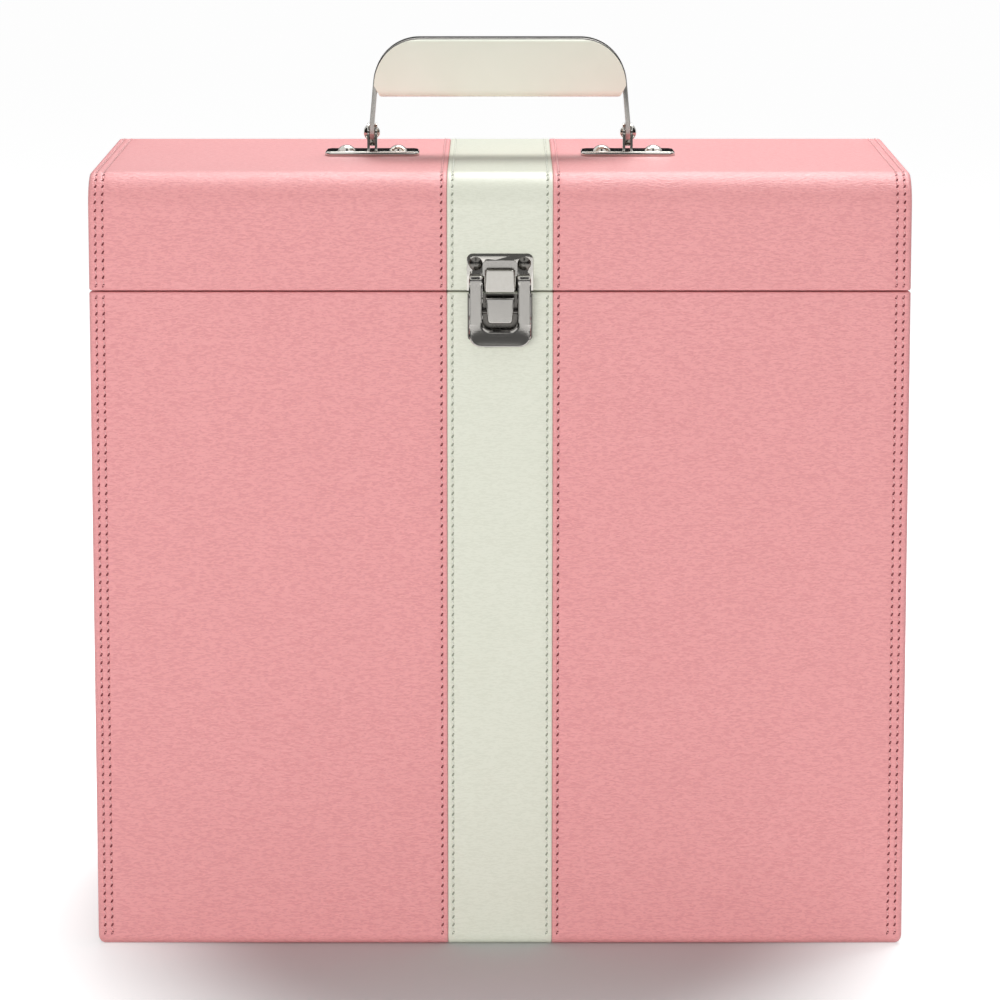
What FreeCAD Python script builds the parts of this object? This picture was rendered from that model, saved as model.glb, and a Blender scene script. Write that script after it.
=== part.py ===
import FreeCAD, Part
import math
import os

os.makedirs("parts", exist_ok=True)
V = FreeCAD.Vector

# The case stands on the plane z = 0. X runs to the right, the front faces -Y, and the origin is the middle
# of the underside. All lengths are in millimetres and all angles in degrees.

# Case
case_width = 350.0
case_depth = 170.0
body_height = 287.0
lid_height = 50.0
seam_gap = 0.6
board_thickness = 8.0
cover_thickness = 1.0
lining_thickness = 1.0
top_edge_radius = 14.0
bottom_edge_radius = 4.0
side_edge_radius = 2.0
rim_edge_radius = 0.6
strip_width = 45.2

# Clearances and cutting
overrun = 10.0
joining_tolerance = 0.000001
face_tolerance = 0.001
shank_fit = 0.05
pin_fit = 0.05
flat_fit = 0.1

# Rear hinges, two alike
hinge_inset = 65.0
hinge_width = 40.0
hinge_leaf_height = 21.0
hinge_leaf_thickness = 1.2
hinge_leaf_corner = 2.0
hinge_knuckle_radius = 2.4
hinge_knuckle_gap = 0.3
hinge_knuckle_side_gap = 0.2
hinge_knuckle_count = 5
hinge_pin_radius = 1.2
hinge_pin_end = 0.5
hinge_shoulder_rise = 2.4
hinge_shoulder_end = 6.0
hinge_screw_height = 14.0
hinge_screw_spacing = 13.0
hinge_screw_head_radius = 2.6
hinge_screw_head_height = 1.1
hinge_screw_shank_radius = 1.1
hinge_screw_shank_length = 7.0
lid_opening = 105.0
shoulder_relief = 1.0

# Handle feet, one under each end of the handle
pivot_spacing = 112.8
pivot_height = 9.8
foot_length = 41.4
foot_depth = 18.0
foot_thickness = 2.0
foot_clip_length = 2.0
foot_clip_depth = 3.0
foot_bevel = 0.7
ear_thickness = 1.1
ear_gap = 2.2
ear_width = 8.2
foot_screw_spacing = 22.8
foot_screw_head_radius = 4.0
foot_screw_head_height = 2.3
foot_screw_shank_radius = 1.7
foot_screw_shank_length = 10.0
tee_nut_flange_radius = 6.0
tee_nut_flange_thickness = 1.0
tee_nut_barrel_radius = 2.6
tee_nut_barrel_length = 6.0
handle_pin_radius = 1.5
handle_pin_head_radius = 3.25
handle_pin_head_height = 1.7
handle_pin_tail_radius = 2.3
handle_pin_tail_height = 1.2

# Handle
strap_thickness = 2.0
strap_width = 12.0
strap_rise = 42.0
strap_corner_radius = 20.3
strap_splay = 5.1
strap_bend_height = 5.0
strap_bend_radius = 4.0
grip_depth = 17.4
grip_height = 25.2
grip_set_back = 0.5
grip_top_edge_radius = 1.2
grip_bottom_edge_radius = 3.0
grip_corner_height = 5.0
grip_corner_length = 3.2
grip_corner_radius = 1.5

# Latch, measured outwards from the front face and up or down from the seam
latch_sheet = 0.8
latch_face = 7.5
strike_width = 28.2
strike_top = 16.3
strike_bottom = 0.5
strike_corner_radius = 2.5
rivet_spacing = 20.6
strike_rivet_height = 12.0
rivet_head_radius = 2.9
rivet_head_height = 1.5
rivet_shank_radius = 1.2
rivet_shank_length = 6.5
nose_width = 12.3
nose_face = 7.0
nose_shelf = 9.2
nose_tip = 10.0
nose_hem = 1.3
nose_corner_radius = 1.3
nose_edge_radius = 0.45
base_width = 27.6
base_thickness = 1.0
base_top = 0.8
base_bottom = 21.0
base_corner_radius = 2.0
base_rivet_drop = 5.0
base_rivet_low_drop = 18.5
base_rivet_head_radius = 2.0
base_rivet_head_height = 1.1
cheek_spacing = 7.8
cheek_thickness = 0.8
cheek_radius = 1.8
cheek_heel = 0.3
cheek_slope = 3.1
pivot_out = 4.6
pivot_drop = 4.2
latch_pin_radius = 0.8
crank_length = 4.0
crank_angle = 8.0
tab_top = 1.9
tab_bottom = 13.0
tab_top_width = 12.5
tab_bottom_width = 10.0
tab_corner_radius = 1.6
tab_edge_radius = 0.8
tab_wall_back = 1.7
tab_wall_mid = 3.5
tab_wall_low = 5.0
frame_width = 26.4
frame_bottom = 22.7
frame_corner_radius = 5.0
frame_slot_width = 14.8
frame_slot_bottom = 15.8
frame_slot_corner_radius = 3.5
frame_flare_start = 13.2
frame_flare = 1.5
frame_flange_back = 3.4
frame_wall_back = 2.5
frame_wall_bottom = 17.0
shoulder_top = 7.7
shoulder_bend_radius = 2.5
shoulder_corner_radius = 2.0
crossbar_back = 1.5
arch_top = 13.5
arch_corner_radius = 2.0
arch_leg_gap = 0.3

# Derived places
case_height = body_height + lid_height
body_rim = body_height - seam_gap / 2
lid_rim = body_height + seam_gap / 2
wall = cover_thickness + board_thickness
half_width = case_width / 2
half_depth = case_depth / 2
hollow_half_width = half_width - wall
hollow_half_depth = half_depth - wall
floor_top = wall
ceiling = case_height - wall
hinge_centre_x = half_width - hinge_inset
hinge_axis_y = half_depth + hinge_knuckle_radius + hinge_knuckle_gap
pivot_z = case_height + pivot_height
latch_hook_height = nose_shelf + flat_fit
link_out = pivot_out + crank_length * math.sin(math.radians(crank_angle))
link_drop = pivot_drop + crank_length * math.cos(math.radians(crank_angle))

nodes = {}


def box(low, high):
    size = high - low
    return Part.makeBox(size.x, size.y, size.z, low)


def rod(radius, start, end):
    path = end - start
    return Part.makeCylinder(radius, path.Length, start, path)


def slab(low_z, high_z):
    low = V(-half_width - overrun, -half_depth - overrun, low_z)
    return box(low, V(half_width + overrun, half_depth + overrun, high_z))


def column(low_x, high_x):
    low = V(low_x, -half_depth - overrun, -overrun)
    return box(low, V(high_x, half_depth + overrun, case_height + overrun))


def corner_arc(before, here, after, radius):
    towards_before = (before - here).normalize()
    towards_after = (after - here).normalize()
    half_angle = towards_before.getAngle(towards_after) / 2
    bisector = (towards_before + towards_after).normalize()
    reach = radius / math.tan(half_angle)
    middle = here + bisector * (radius / math.sin(half_angle) - radius)
    return here + towards_before * reach, middle, here + towards_after * reach


def flat_face(corners, place):
    # Each corner is (across, up, radius), in order round the outline.
    points = [V(across, up, 0) for across, up, radius in corners]
    turns = []
    for index, corner in enumerate(corners):
        here = points[index]
        following = points[(index + 1) % len(points)]
        if corner[2] > 0:
            turns.append(corner_arc(points[index - 1], here, following, corner[2]))
        else:
            turns.append((here, here, here))
    edges = []
    for index, (start, middle, end) in enumerate(turns):
        if corners[index][2] > 0:
            edges.append(Part.Arc(place(start), place(middle), place(end)).toShape())
        following = turns[(index + 1) % len(turns)][0]
        if (following - end).Length > joining_tolerance:
            edges.append(Part.LineSegment(place(end), place(following)).toShape())
    return Part.Face(Part.Wire(edges))


def prism_along_x(corners, start, end):
    face = flat_face(corners, lambda point: V(start, point.x, point.y))
    return face.extrude(V(end - start, 0, 0))


def prism_along_y(corners, start, end):
    face = flat_face(corners, lambda point: V(point.x, start, point.y))
    return face.extrude(V(0, end - start, 0))


def prism_along_z(corners, start, end):
    face = flat_face(corners, lambda point: V(point.x, point.y, start))
    return face.extrude(V(0, 0, end - start))


def right_hand(direction):
    length = math.hypot(direction.x, direction.y)
    return V(direction.y / length, -direction.x / length, 0)


def ribbon(path, thickness):
    # The outline of a strip of even thickness that lies on the right-hand side of a bent path.
    points = [V(across, up, 0) for across, up, radius in path]
    offset = []
    for index, point in enumerate(points):
        if index == 0:
            shift = right_hand(points[1] - point) * thickness
            radius = 0
        elif index == len(points) - 1:
            shift = right_hand(point - points[index - 1]) * thickness
            radius = 0
        else:
            before = right_hand(point - points[index - 1])
            after = right_hand(points[index + 1] - point)
            shift = (before + after) * (thickness / (1 + before.dot(after)))
            turn = before.cross(after).z
            radius = path[index][2] + math.copysign(thickness, turn)
        offset.append((point.x + shift.x, point.y + shift.y, radius))
    return list(path) + offset[::-1]


def mirrored(corners):
    return corners + [(-across, up, radius) for across, up, radius in reversed(corners)]


def edges_at(shape, low, high):
    # The edges that lie wholly between two corners of space.
    found = []
    for edge in shape.Edges:
        bounds = edge.BoundBox
        inside_x = bounds.XMin > low.x - face_tolerance and bounds.XMax < high.x + face_tolerance
        inside_y = bounds.YMin > low.y - face_tolerance and bounds.YMax < high.y + face_tolerance
        inside_z = bounds.ZMin > low.z - face_tolerance and bounds.ZMax < high.z + face_tolerance
        if inside_x and inside_y and inside_z:
            found.append(edge)
    return found


def dome(radius, height, seat, outward):
    ball_radius = (radius ** 2 + height ** 2) / (2 * height)
    centre_height = height - ball_radius
    slant = math.atan2(radius, -centre_height) / 2
    middle = V(ball_radius * math.sin(slant), 0, centre_height + ball_radius * math.cos(slant))
    rim = V(radius, 0, 0)
    top = V(0, 0, height)
    edges = [
        Part.LineSegment(V(0, 0, 0), rim).toShape(),
        Part.Arc(rim, middle, top).toShape(),
        Part.LineSegment(top, V(0, 0, 0)).toShape(),
    ]
    solid = Part.Face(Part.Wire(edges)).revolve(V(0, 0, 0), V(0, 0, 1), 360)
    solid.Placement = FreeCAD.Placement(seat, FreeCAD.Rotation(V(0, 0, 1), outward))
    return solid


def fastener(head_radius, head_height, shank_radius, shank_length, seat, outward):
    head = dome(head_radius, head_height, seat, outward)
    shank = rod(shank_radius, seat + outward * (head_height / 2), seat - outward * shank_length)
    return head.fuse(shank).removeSplitter()


def shank_hole(shank_radius, shank_length, seat, outward):
    start = seat + outward * overrun
    return rod(shank_radius + shank_fit, start, seat - outward * (shank_length + shank_fit))


def case_envelope(inset):
    deep = half_depth - inset
    wide = half_width - inset
    bottom_radius = bottom_edge_radius - inset
    top_radius = top_edge_radius - inset
    profile = [
        (-deep, inset, bottom_radius),
        (deep, inset, bottom_radius),
        (deep, case_height - inset, top_radius),
        (-deep, case_height - inset, top_radius),
    ]
    solid = prism_along_x(profile, -wide, wide)
    side_edges = []
    for end in (-wide, wide):
        low = V(end, -deep, inset)
        side_edges += edges_at(solid, low, V(end, deep, case_height - inset))
    return solid.makeFillet(side_edge_radius - inset, side_edges)


def rounded_rim(solid, rim_z):
    low = V(-half_width, -half_depth, rim_z)
    rim_edges = edges_at(solid, low, V(half_width, half_depth, rim_z))
    return solid.makeFillet(rim_edge_radius, rim_edges)


def make_walls(prefix, walls, low_z, high_z):
    # The front and back boards run the full width, and the side boards fit between them.
    wide = half_width + overrun
    deep = half_depth + overrun
    front = box(V(-wide, -deep, low_z), V(wide, -hollow_half_depth, high_z))
    back = box(V(-wide, hollow_half_depth, low_z), V(wide, deep, high_z))
    between = walls.cut(front).cut(back)
    nodes[prefix + "_front_board"] = walls.common(front)
    nodes[prefix + "_back_board"] = walls.common(back)
    nodes[prefix + "_left_board"] = between.common(column(-wide, -hollow_half_width))
    nodes[prefix + "_right_board"] = between.common(column(hollow_half_width, wide))
    return between


def room(inset, low_z, high_z):
    # The space inside the boards, or inside a lining of the inset's thickness.
    wide = hollow_half_width - inset
    deep = hollow_half_depth - inset
    return box(V(-wide, -deep, low_z), V(wide, deep, high_z))


def make_body_box():
    outer = rounded_rim(case_envelope(0).common(slab(-overrun, body_rim)), body_rim)
    core = case_envelope(cover_thickness).common(slab(-overrun, body_rim - cover_thickness))
    hollow = room(0, floor_top, body_rim + overrun)
    between = make_walls("body", core.cut(hollow), -overrun, body_rim)
    nodes["body_floor_board"] = between.common(column(-hollow_half_width, hollow_half_width))
    shell = outer.cut(core).cut(hollow)
    flat_width = half_width - bottom_edge_radius
    flat_depth = half_depth - bottom_edge_radius
    underside = box(V(-flat_width, -flat_depth, -overrun), V(flat_width, flat_depth, floor_top))
    nodes["body_underside_cover"] = shell.common(underside)
    split_cover("body", shell.cut(underside))
    lining = room(0, floor_top, body_rim)
    lined_room = room(lining_thickness, floor_top + lining_thickness, body_rim + overrun)
    nodes["body_lining"] = lining.cut(lined_room)


def make_lid_box():
    top = case_height + overrun
    outer = rounded_rim(case_envelope(0).common(slab(lid_rim, top)), lid_rim)
    core = case_envelope(cover_thickness).common(slab(lid_rim + cover_thickness, top))
    hollow = room(0, lid_rim - overrun, ceiling)
    nodes["lid_top_board"] = core.common(slab(ceiling, top))
    make_walls("lid", core.common(slab(lid_rim, ceiling)).cut(hollow), lid_rim, ceiling)
    split_cover("lid", outer.cut(core).cut(hollow))
    lining = room(0, lid_rim, ceiling)
    nodes["lid_lining"] = lining.cut(room(lining_thickness, lid_rim - overrun, ceiling - lining_thickness))


def split_cover(prefix, shell):
    # The cover is three panels sewn edge to edge: pink, the pale middle strip, pink.
    outside = half_width + overrun
    nodes[prefix + "_cover_left"] = shell.common(column(-outside, -strip_width / 2))
    nodes[prefix + "_strip"] = shell.common(column(-strip_width / 2, strip_width / 2))
    nodes[prefix + "_cover_right"] = shell.common(column(strip_width / 2, outside))


def hinge_leaf(centre_x, side):
    # Side is 1 for the lid's leaf, above the pin, and -1 for the body's leaf, below it.
    low_x = centre_x - hinge_width / 2
    high_x = centre_x + hinge_width / 2
    near = hinge_knuckle_radius + hinge_knuckle_gap
    face_y = half_depth + hinge_leaf_thickness
    plate_corners = [
        (low_x, body_height + side * near, 0),
        (high_x, body_height + side * near, 0),
        (high_x, body_height + side * hinge_leaf_height, hinge_leaf_corner),
        (low_x, body_height + side * hinge_leaf_height, hinge_leaf_corner),
    ]
    leaf = prism_along_y(plate_corners, half_depth, face_y)
    half_closed = math.tan(math.radians((180 - lid_opening - shoulder_relief) / 2))
    shoulder = [
        (half_depth, body_height + side * near, 0),
        (hinge_axis_y + near * half_closed, body_height + side * near, 0),
        (hinge_axis_y + hinge_shoulder_rise, body_height + side * hinge_shoulder_rise / half_closed, 0),
        (hinge_axis_y + hinge_shoulder_rise, body_height + side * hinge_shoulder_end, 0),
        (half_depth, body_height + side * hinge_shoulder_end, 0),
    ]
    leaf = leaf.fuse(prism_along_x(shoulder, low_x, high_x))
    pitch = hinge_width / hinge_knuckle_count
    first = 1 if side > 0 else 0
    for index in range(first, hinge_knuckle_count, 2):
        start = low_x + index * pitch
        if index > 0:
            start += hinge_knuckle_side_gap / 2
        end = low_x + (index + 1) * pitch
        if index < hinge_knuckle_count - 1:
            end -= hinge_knuckle_side_gap / 2
        axis_start = V(start, hinge_axis_y, body_height)
        leaf = leaf.fuse(rod(hinge_knuckle_radius, axis_start, V(end, hinge_axis_y, body_height)))
        web = [
            (half_depth + hinge_knuckle_gap, body_height, 0),
            (face_y + hinge_knuckle_gap, body_height, 0),
            (face_y + hinge_knuckle_gap, body_height + side * near, 0),
            (half_depth + hinge_knuckle_gap, body_height + side * near, 0),
        ]
        leaf = leaf.fuse(prism_along_x(web, start, end))
    axis_low = V(low_x - overrun, hinge_axis_y, body_height)
    axis_high = V(high_x + overrun, hinge_axis_y, body_height)
    leaf = leaf.cut(rod(hinge_pin_radius + pin_fit, axis_low, axis_high))
    for seat in hinge_screw_seats(centre_x, side):
        leaf = leaf.cut(shank_hole(hinge_screw_shank_radius, hinge_screw_shank_length, seat, V(0, 1, 0)))
    return leaf.removeSplitter()


def hinge_screw_seats(centre_x, side):
    seat_y = half_depth + hinge_leaf_thickness
    seat_z = body_height + side * hinge_screw_height
    return [V(centre_x + step * hinge_screw_spacing, seat_y, seat_z) for step in (-1, 0, 1)]


def drill(names, holes):
    for name in names:
        for hole in holes:
            nodes[name] = nodes[name].cut(hole)


def make_hinges():
    outward = V(0, 1, 0)
    for part, side in (("body", -1), ("lid", 1)):
        screws = []
        holes = []
        for word, centre_x in (("left", -hinge_centre_x), ("right", hinge_centre_x)):
            nodes["hinge_" + word + "_" + part + "_leaf"] = hinge_leaf(centre_x, side)
            for seat in hinge_screw_seats(centre_x, side):
                sizes = (hinge_screw_shank_radius, hinge_screw_shank_length, seat, outward)
                screws.append(fastener(hinge_screw_head_radius, hinge_screw_head_height, *sizes))
                holes.append(shank_hole(*sizes))
        nodes["hinge_" + part + "_screws"] = Part.makeCompound(screws)
        drill([part + "_cover_left", part + "_cover_right", part + "_back_board"], holes)
    for word, centre_x in (("left", -hinge_centre_x), ("right", hinge_centre_x)):
        half_length = hinge_width / 2 + hinge_pin_end
        start = V(centre_x - half_length, hinge_axis_y, body_height)
        end = V(centre_x + half_length, hinge_axis_y, body_height)
        nodes["hinge_" + word + "_pin"] = rod(hinge_pin_radius, start, end)


def make_foot(centre_x, outside):
    # Outside is the way from the ears to the pin's domed head, away from the middle of the case.
    plate_top = case_height + foot_thickness
    half_length = foot_length / 2
    half_foot = foot_depth / 2
    clip_x = half_length - foot_clip_length
    clip_y = half_foot - foot_clip_depth
    corners = [
        (centre_x - half_length, -clip_y, 0),
        (centre_x - clip_x, -half_foot, 0),
        (centre_x + clip_x, -half_foot, 0),
        (centre_x + half_length, -clip_y, 0),
        (centre_x + half_length, clip_y, 0),
        (centre_x + clip_x, half_foot, 0),
        (centre_x - clip_x, half_foot, 0),
        (centre_x - half_length, clip_y, 0),
    ]
    foot = prism_along_z(corners, case_height, plate_top)
    low = V(centre_x - half_length, -half_foot, plate_top)
    foot = foot.makeChamfer(foot_bevel, edges_at(foot, low, V(centre_x + half_length, half_foot, plate_top)))
    ear = [
        (-ear_width / 2, case_height + foot_thickness / 2, 0),
        (ear_width / 2, case_height + foot_thickness / 2, 0),
        (ear_width / 2, pivot_z + ear_width / 2, ear_width / 2),
        (-ear_width / 2, pivot_z + ear_width / 2, ear_width / 2),
    ]
    for side in (-1, 1):
        inner = centre_x + side * ear_gap / 2
        foot = foot.fuse(prism_along_x(ear, inner, inner + side * ear_thickness))
    reach = ear_gap / 2 + ear_thickness
    pin_start = V(centre_x - outside * (reach + handle_pin_tail_height / 2), 0, pivot_z)
    pin_end = V(centre_x + outside * (reach + handle_pin_head_height / 2), 0, pivot_z)
    foot = foot.cut(rod(handle_pin_radius + pin_fit, pin_start, pin_end))
    pin = rod(handle_pin_radius, pin_start, pin_end)
    outward = V(outside, 0, 0)
    head_seat = V(centre_x + outside * reach, 0, pivot_z)
    tail_seat = V(centre_x - outside * reach, 0, pivot_z)
    pin = pin.fuse(dome(handle_pin_head_radius, handle_pin_head_height, head_seat, outward))
    pin = pin.fuse(dome(handle_pin_tail_radius, handle_pin_tail_height, tail_seat, outward * -1))
    return foot, pin.removeSplitter()


def make_feet():
    up = V(0, 0, 1)
    screws = []
    nuts = []
    holes = []
    nut_holes = []
    nut_low = ceiling
    flange_top = nut_low + tee_nut_flange_thickness
    barrel_top = flange_top + tee_nut_barrel_length
    for word, outside in (("left", -1), ("right", 1)):
        centre_x = outside * pivot_spacing / 2
        foot, pin = make_foot(centre_x, outside)
        for side in (-1, 1):
            screw_x = centre_x + side * foot_screw_spacing / 2
            seat = V(screw_x, 0, case_height + foot_thickness)
            sizes = (foot_screw_shank_radius, foot_screw_shank_length, seat, up)
            screws.append(fastener(foot_screw_head_radius, foot_screw_head_height, *sizes))
            hole = shank_hole(*sizes)
            holes.append(hole)
            foot = foot.cut(hole)
            low = V(screw_x, 0, nut_low)
            nut = rod(tee_nut_flange_radius, low, V(screw_x, 0, flange_top))
            nut = nut.fuse(rod(tee_nut_barrel_radius, low, V(screw_x, 0, barrel_top)))
            bore_top = V(screw_x, 0, barrel_top + overrun)
            bore = rod(foot_screw_shank_radius + shank_fit, low - up * overrun, bore_top)
            nuts.append(nut.cut(bore).removeSplitter())
            recess_top = V(screw_x, 0, flange_top + shank_fit)
            nut_holes.append(rod(tee_nut_flange_radius + shank_fit, low, recess_top))
            barrel_end = V(screw_x, 0, barrel_top + shank_fit)
            nut_holes.append(rod(tee_nut_barrel_radius + shank_fit, low, barrel_end))
        nodes["handle_" + word + "_foot"] = foot.removeSplitter()
        nodes["handle_" + word + "_pin"] = pin
    nodes["handle_foot_screws"] = Part.makeCompound(screws)
    nodes["handle_tee_nuts"] = Part.makeCompound(nuts)
    drill(["lid_cover_left", "lid_cover_right", "lid_top_board"], holes)
    drill(["lid_top_board"], nut_holes)


def leg_face(height):
    # How far the handle leg's outer face stands from the middle, at a height above the pivot.
    lean = math.tan(math.radians(strap_splay))
    return pivot_spacing / 2 + strap_thickness / 2 - (height - strap_bend_height) * lean


def make_handle():
    outer_foot = pivot_spacing / 2 + strap_thickness / 2
    strap_half = strap_width / 2
    left_side = [
        (-outer_foot, pivot_z - strap_half, 0),
        (-outer_foot, pivot_z + strap_bend_height, strap_bend_radius),
        (-leg_face(strap_rise), pivot_z + strap_rise, strap_corner_radius),
    ]
    strap = prism_along_y(ribbon(mirrored(left_side), strap_thickness), -strap_half, strap_half)
    top = pivot_z + strap_rise + overrun
    side_shape = [
        (-strap_half, pivot_z - strap_half, strap_half),
        (-strap_half, top, 0),
    ]
    reach = outer_foot + overrun
    strap = strap.common(prism_along_x(mirrored(side_shape), -reach, reach))
    strap = strap.cut(rod(handle_pin_radius + pin_fit, V(-reach, 0, pivot_z), V(reach, 0, pivot_z)))
    nodes["handle_strap"] = strap
    bottom = strap_rise - grip_set_back - grip_height
    inner_set = strap_thickness + flat_fit
    half_slot = strap_half + flat_fit
    half_grip = grip_depth / 2
    # The grip fills the strap's inside and laps over both its edges, just short of its outer face.
    grip = prism_along_y(grip_outline(inner_set, bottom), -half_grip, half_grip)
    for low_y, high_y in ((-half_grip, -half_slot), (half_slot, half_grip)):
        grip = grip.fuse(prism_along_y(grip_outline(grip_set_back, bottom), low_y, high_y))
    section = [
        (-half_grip, pivot_z + bottom, grip_bottom_edge_radius),
        (-half_grip, pivot_z + strap_rise - grip_set_back, grip_top_edge_radius),
    ]
    grip = grip.common(prism_along_x(mirrored(section), -reach, reach))
    nodes["handle_grip"] = grip.removeSplitter()


def grip_outline(set_back, bottom):
    # The grip's outline at an even distance inside the strap's outer face, down to the grip's bottom.
    shoulder = bottom + grip_corner_height
    aslant = set_back / math.cos(math.radians(strap_splay))
    low_x = -leg_face(bottom) + grip_set_back + grip_corner_length
    return mirrored([
        (low_x, pivot_z + bottom, grip_corner_radius),
        (-leg_face(shoulder) + aslant, pivot_z + shoulder, grip_corner_radius),
        (-leg_face(strap_rise) + aslant, pivot_z + strap_rise - set_back, strap_corner_radius - set_back),
    ])


def out(distance):
    return -half_depth - distance


def make_strike():
    half = strike_width / 2
    low = body_height + strike_bottom
    plate_corners = [
        (-half, low, 0),
        (-half, body_height + strike_top, strike_corner_radius),
    ]
    strike = prism_along_y(mirrored(plate_corners), out(0), out(latch_sheet))
    nose_half = nose_width / 2
    shelf_z = body_height + nose_shelf
    nose = box(V(-nose_half, out(nose_face), low), V(nose_half, out(0), shelf_z))
    lip_corners = [
        (-nose_half, shelf_z - latch_sheet, 0),
        (-nose_half, body_height + nose_tip, nose_corner_radius),
    ]
    nose = nose.fuse(prism_along_y(mirrored(lip_corners), out(nose_face), out(nose_face - nose_hem)))
    nose = nose.removeSplitter()
    front_edges = edges_at(
        nose, V(-nose_half, out(nose_face), low), V(nose_half, out(nose_face), body_height + nose_tip)
    )
    nose = nose.makeFillet(nose_edge_radius, front_edges)
    strike = strike.fuse(nose)
    room_half = nose_half - latch_sheet
    room_low = V(-room_half, out(nose_face - latch_sheet), low - overrun)
    strike = strike.cut(box(room_low, V(room_half, out(latch_sheet), shelf_z - latch_sheet)))
    rivets = []
    holes = []
    for side in (-1, 1):
        seat = V(side * rivet_spacing / 2, out(latch_sheet), body_height + strike_rivet_height)
        sizes = (rivet_shank_radius, rivet_shank_length, seat, V(0, -1, 0))
        rivets.append(fastener(rivet_head_radius, rivet_head_height, *sizes))
        holes.append(shank_hole(*sizes))
        strike = strike.cut(holes[-1])
    nodes["strike_plate"] = strike.removeSplitter()
    nodes["strike_rivets"] = Part.makeCompound(rivets)
    drill(["lid_strip", "lid_front_board"], holes)


def make_latch_base():
    half = base_width / 2
    plate_corners = [
        (-half, body_height - base_top, 0),
        (-half, body_height - base_bottom, base_corner_radius),
    ]
    base = prism_along_y(mirrored(plate_corners), out(0), out(base_thickness))
    pivot_level = body_height - pivot_drop
    cheek = [
        (out(0), pivot_level - cheek_radius, 0),
        (out(0), pivot_level + cheek_heel, 0),
        (out(pivot_out - cheek_slope), pivot_level + cheek_heel, 0),
        (out(pivot_out), pivot_level + cheek_radius, 0),
        (out(pivot_out + cheek_radius), pivot_level + cheek_radius, cheek_radius),
        (out(pivot_out + cheek_radius), pivot_level - cheek_radius, cheek_radius),
    ]
    for side in (-1, 1):
        inner = side * cheek_spacing / 2
        base = base.fuse(prism_along_x(cheek, inner, inner + side * cheek_thickness))
    pin_hole_end = V(half, out(pivot_out), pivot_level)
    base = base.cut(rod(latch_pin_radius + pin_fit, V(-half, out(pivot_out), pivot_level), pin_hole_end))
    rivets = []
    holes = []
    places = [
        (-rivet_spacing / 2, base_rivet_drop),
        (rivet_spacing / 2, base_rivet_drop),
        (0, base_rivet_low_drop),
    ]
    for rivet_x, drop in places:
        seat = V(rivet_x, out(base_thickness), body_height - drop)
        sizes = (rivet_shank_radius, rivet_shank_length, seat, V(0, -1, 0))
        rivets.append(fastener(base_rivet_head_radius, base_rivet_head_height, *sizes))
        holes.append(shank_hole(*sizes))
        base = base.cut(holes[-1])
    nodes["latch_base"] = base.removeSplitter()
    nodes["latch_base_rivets"] = Part.makeCompound(rivets)
    drill(["body_strip", "body_front_board"], holes)
    pin_half = tab_top_width / 2 - flat_fit
    pin_start = V(-pin_half, out(pivot_out), pivot_level)
    nodes["latch_pivot_pin"] = rod(latch_pin_radius, pin_start, V(pin_half, out(pivot_out), pivot_level))


def make_latch_tab():
    # A cushion-shaped channel, wide at the top, that turns on the base and carries the frame.
    top_z = body_height - tab_top
    bottom_z = body_height - tab_bottom
    face = [
        (-tab_top_width / 2, top_z, 0),
        (-tab_bottom_width / 2, bottom_z, tab_corner_radius),
    ]
    block = prism_along_y(mirrored(face), out(0), out(latch_face))
    low = V(-tab_top_width / 2, out(latch_face), bottom_z)
    face_edges = edges_at(block, low, V(tab_top_width / 2, out(latch_face), top_z))
    block = block.makeFillet(tab_edge_radius, face_edges)
    inner = [
        (-tab_top_width / 2 + latch_sheet, top_z + overrun, 0),
        (-tab_top_width / 2 + latch_sheet, top_z, 0),
        (-tab_bottom_width / 2 + latch_sheet, bottom_z + latch_sheet, tab_corner_radius - latch_sheet),
    ]
    block = block.cut(prism_along_y(mirrored(inner), out(0), out(latch_face - latch_sheet)))
    pivot_level = body_height - pivot_drop
    link_level = body_height - link_drop
    side_shape = [
        (out(latch_face), top_z, 0),
        (out(latch_face), bottom_z, 0),
        (out(tab_wall_low), bottom_z, 0),
        (out(tab_wall_mid), link_level, tab_wall_back),
        (out(pivot_out - tab_wall_back), pivot_level, tab_wall_back),
        (out(pivot_out - tab_wall_back), top_z, tab_wall_back),
    ]
    reach = tab_top_width
    block = block.common(prism_along_x(side_shape, -reach, reach))
    for distance, level in ((pivot_out, pivot_level), (link_out, link_level)):
        hole_end = V(reach, out(distance), level)
        block = block.cut(rod(latch_pin_radius + pin_fit, V(-reach, out(distance), level), hole_end))
    nodes["latch_tab"] = block
    link_half = frame_slot_width / 2 + latch_sheet - flat_fit
    pin_start = V(-link_half, out(link_out), link_level)
    nodes["latch_link_pin"] = rod(latch_pin_radius, pin_start, V(link_half, out(link_out), link_level))


def slot_outline(grow, top_z):
    half = frame_slot_width / 2 + grow
    bottom_z = body_height - frame_slot_bottom - grow
    return mirrored([(-half, top_z, 0), (-half, bottom_z, frame_slot_corner_radius + grow)])


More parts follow.
